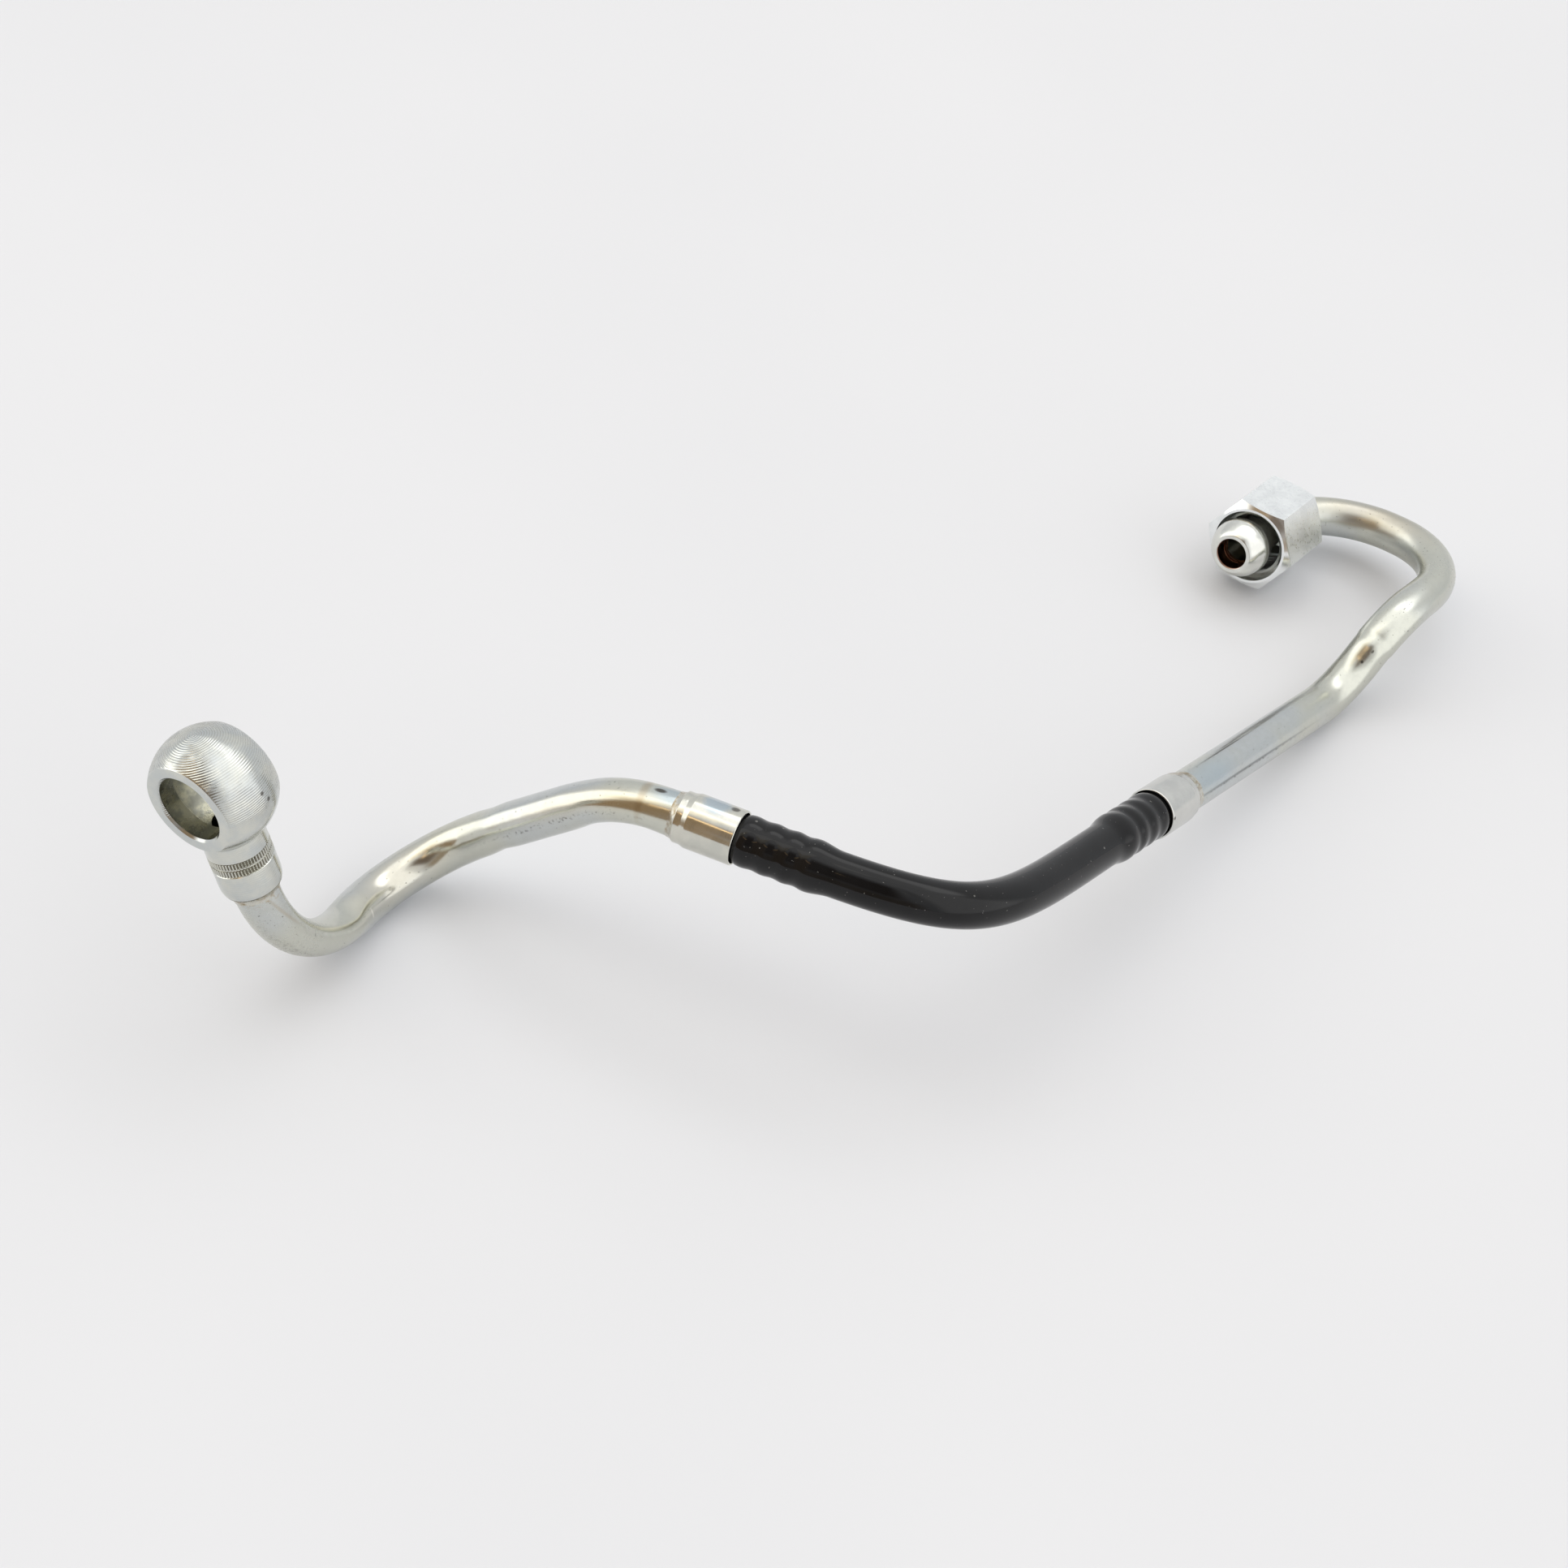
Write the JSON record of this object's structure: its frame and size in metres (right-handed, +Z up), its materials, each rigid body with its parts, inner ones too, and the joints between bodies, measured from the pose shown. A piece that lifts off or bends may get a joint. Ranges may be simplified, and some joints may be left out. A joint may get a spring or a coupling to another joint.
{
  "type": "fuel line",
  "caption": "Bent steel fuel tube in two halves joined by a crimped plastic hose, with a banjo eye at one end and a ball nipple with a loose union nut at the other.",
  "frame": {"origin": "on the surface that the line lies on, under the middle of its bounding box", "axes": "+Z up as the line lies at rest; +X from the banjo eye towards the hook's outer bend, along the longest extent; +Y from the hose side towards the union nut's hook"},
  "size_m": [0.248, 0.1656, 0.0582],
  "materials": {
    "turned_steel": "turned, zinc plated, slightly tarnished",
    "zinc_tube": "satin zinc plate with pits and brown tarnish",
    "zinc_sleeve": "satin zinc plate with fine scratches",
    "nut_steel": "tumbled flats, bright chamfers",
    "braze": "tan braze metal under thin plate",
    "copper": "copper braze, dulled",
    "black_hose": "glossy black extruded plastic"
  },
  "bodies": {
    "line": {"banjo_fitting": "turned_steel", "eye_braze": "braze", "banjo_tube": "zinc_tube", "banjo_sleeve_braze": "braze", "banjo_sleeve": "zinc_sleeve", "hose": "black_hose", "nut_sleeve": "zinc_sleeve", "nut_sleeve_braze": "braze", "nut_tube": "zinc_tube", "ball_nipple": "turned_steel", "copper_braze_ring": "copper"},
    "nut": {"union_nut": "nut_steel"}
  },
  "joints": [
    {"name": "nut_spin", "type": "hinge", "parent": "line", "child": "nut", "pos_m": [0.08594, 0.0687, 0.00995], "axis": [-0.563, -0.8059, 0.1833], "continuous": true}
  ]
}
